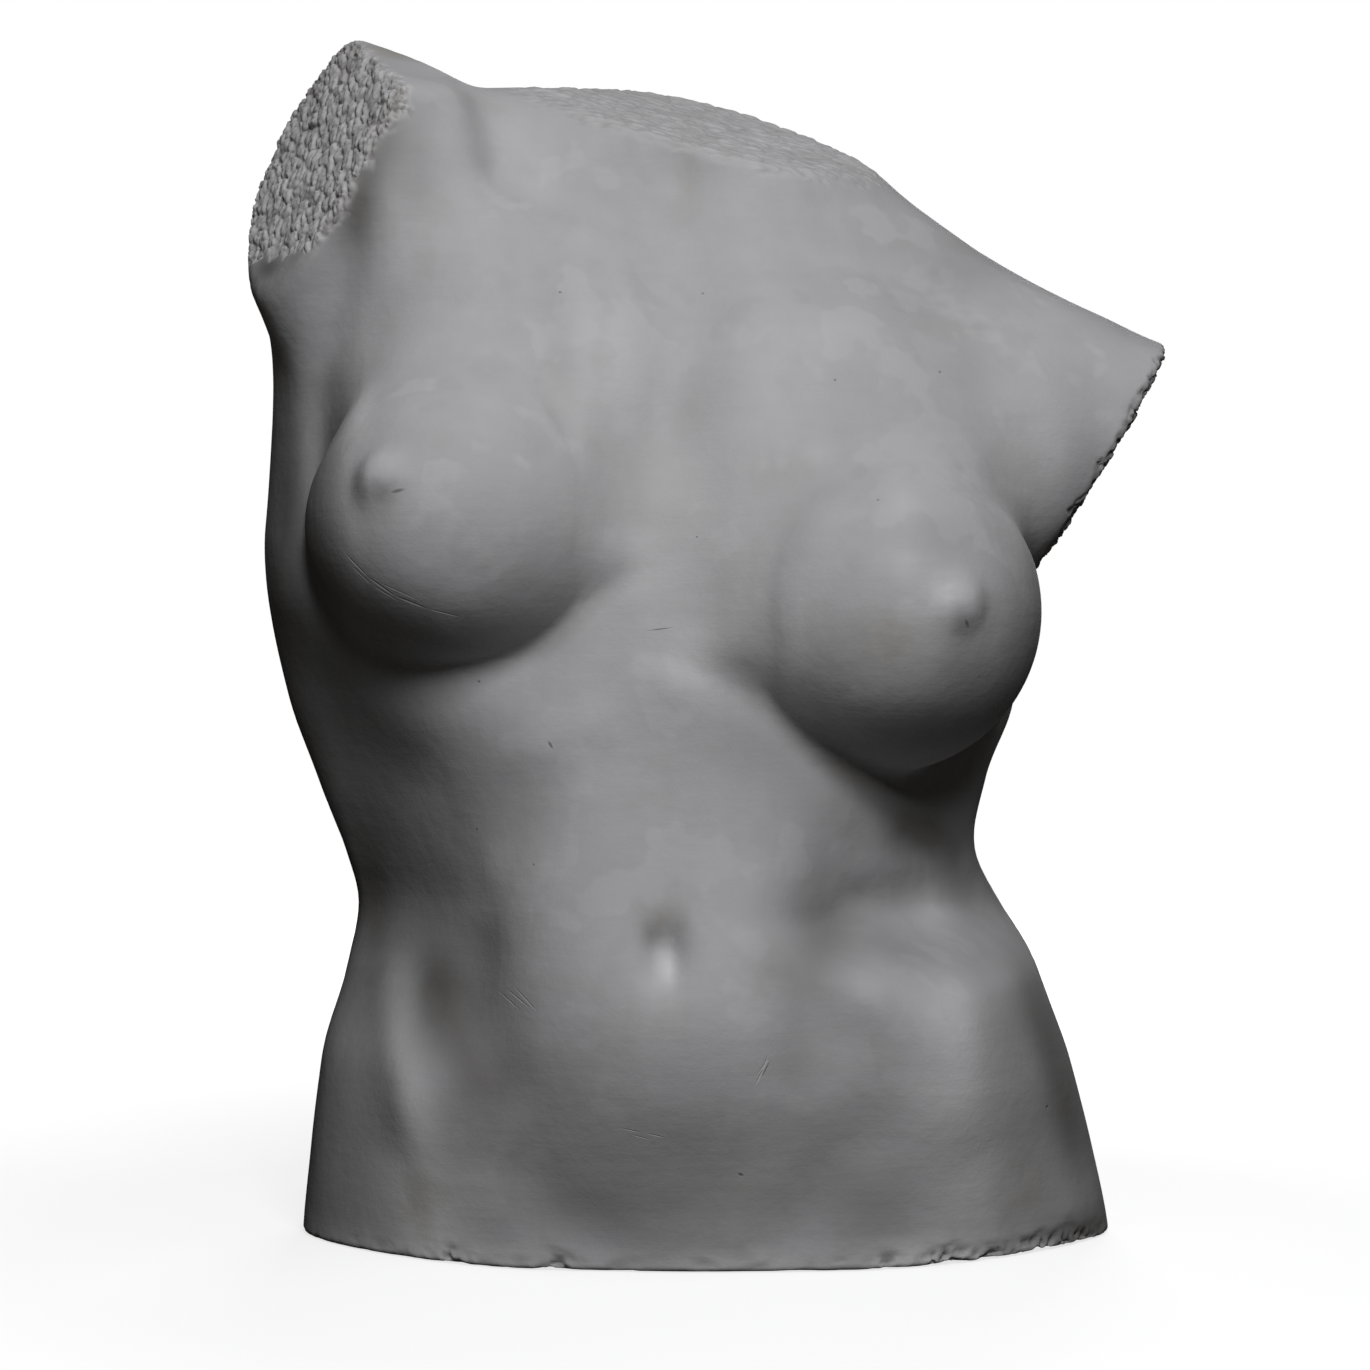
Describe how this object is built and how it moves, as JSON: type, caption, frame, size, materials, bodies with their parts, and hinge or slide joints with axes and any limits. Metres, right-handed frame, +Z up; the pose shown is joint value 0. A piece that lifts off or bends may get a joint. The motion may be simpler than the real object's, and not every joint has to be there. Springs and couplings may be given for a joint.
{
  "type": "plaster torso sculpture",
  "caption": "Life-size grey plaster torso of a woman, without head or arms, with rough stumps and a flat underside.",
  "frame": {"origin": "on the underside, below the middle of the torso's extent", "axes": "+Z up; the front of the torso faces -Y; +X is the torso's own left side"},
  "size_m": [0.424, 0.2688, 0.55],
  "materials": {
    "plaster": "dull grey plaster, brushed and slightly stained"
  },
  "bodies": {
    "root": {"torso": "plaster"}
  },
  "joints": []
}
